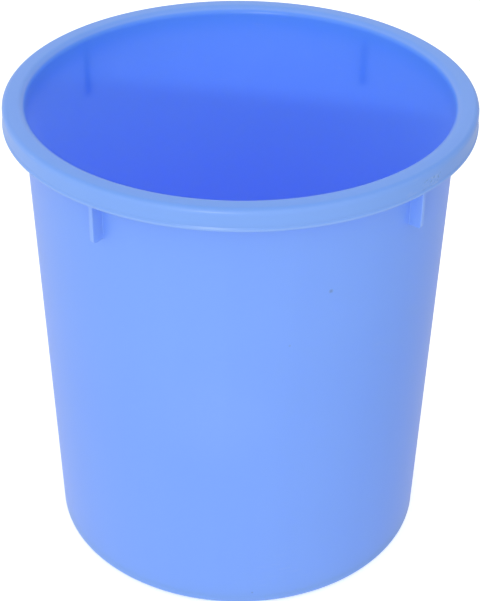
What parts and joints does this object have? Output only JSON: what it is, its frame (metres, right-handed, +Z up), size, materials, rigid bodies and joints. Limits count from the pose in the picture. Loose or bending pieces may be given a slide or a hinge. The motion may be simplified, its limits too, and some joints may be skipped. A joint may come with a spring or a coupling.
{
  "type": "wastebasket",
  "caption": "Round open-top office wastebasket in moulded plastic, tapered, with a rolled skirted rim and nesting ribs under it.",
  "frame": {"origin": "middle of the standing ring's underside, on the surface that the basket stands on", "axes": "+Z up through the mouth along the basket's axis, -Y to the front, +X to the right"},
  "size_m": [0.311, 0.311, 0.33],
  "materials": {
    "moulded_plastic": "satin"
  },
  "bodies": {
    "root": {"foot_ring": "moulded_plastic", "base_panel": "moulded_plastic", "base_corner": "moulded_plastic", "side_wall": "moulded_plastic", "rim_crown": "moulded_plastic", "rim_skirt": "moulded_plastic", "skirt_bead": "moulded_plastic", "nesting_rib_front_left": "moulded_plastic", "nesting_rib_front_right": "moulded_plastic", "nesting_rib_rear_right": "moulded_plastic", "nesting_rib_rear_left": "moulded_plastic"}
  },
  "joints": []
}
